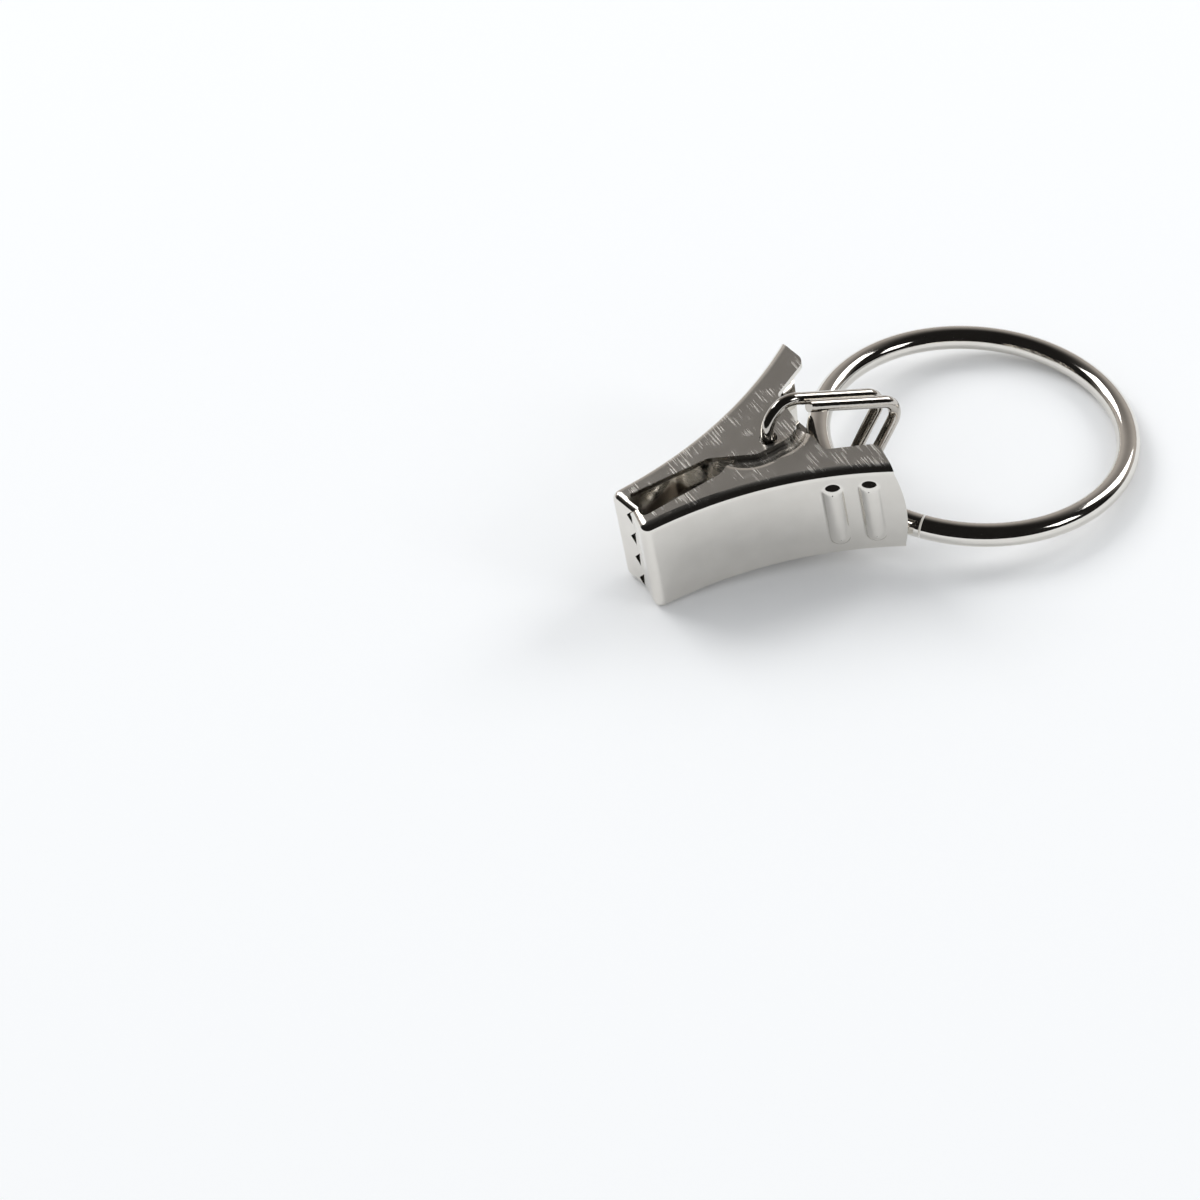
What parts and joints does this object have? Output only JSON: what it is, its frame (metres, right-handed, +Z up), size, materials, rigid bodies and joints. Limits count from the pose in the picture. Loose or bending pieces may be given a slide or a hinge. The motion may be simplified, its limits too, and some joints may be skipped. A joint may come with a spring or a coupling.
{
  "type": "curtain ring with clip",
  "caption": "Sprung curtain clip of pressed nickel-plated steel, hung by a bent wire link from a split wire ring that runs on a curtain rod.",
  "frame": {"origin": "middle of the footprint, on the surface the object lies on", "axes": "+X along the clip from its mouth to the ring, +Y towards the jaw with the outer ears, +Z up"},
  "size_m": [0.0484, 0.0292, 0.0147],
  "materials": {
    "nickel_sheet": "bright nickel plate",
    "nickel_wire": "bright nickel plate",
    "spring_steel": "drawn wire"
  },
  "bodies": {
    "clip_inner": {"jaw_inner": "nickel_sheet", "spring": "spring_steel"},
    "clip_outer": {"jaw_outer": "nickel_sheet"},
    "link": {"link": "nickel_wire"},
    "ring": {"ring": "nickel_wire"}
  },
  "joints": [
    {"name": "jaw_pivot", "type": "hinge", "parent": "clip_inner", "child": "clip_outer", "pos_m": [-0.00973, 0.00047, 0.00642], "axis": [0.1031, 0, -0.9947], "range_deg": [0, 24], "stiffness_Nm_per_rad": 0.001, "springref_deg": -22.92, "deforming": ["spring"]},
    {"name": "link_swing", "type": "hinge", "parent": "clip_inner", "child": "link", "pos_m": [-0.00973, 0.00047, 0.00642], "axis": [0.1031, 0, -0.9947], "range_deg": [0, 10.8]},
    {"name": "ring_slide", "type": "slide", "parent": "link", "child": "ring", "axis": [0.4239, 0, 0.9057], "range_m": [0, 0.0052]}
  ],
  "couplings": [
    {"joint": "jaw_pivot", "follows": "ring_slide", "rad_per_m": 80.553},
    {"joint": "link_swing", "follows": "ring_slide", "rad_per_m": 36.248}
  ]
}
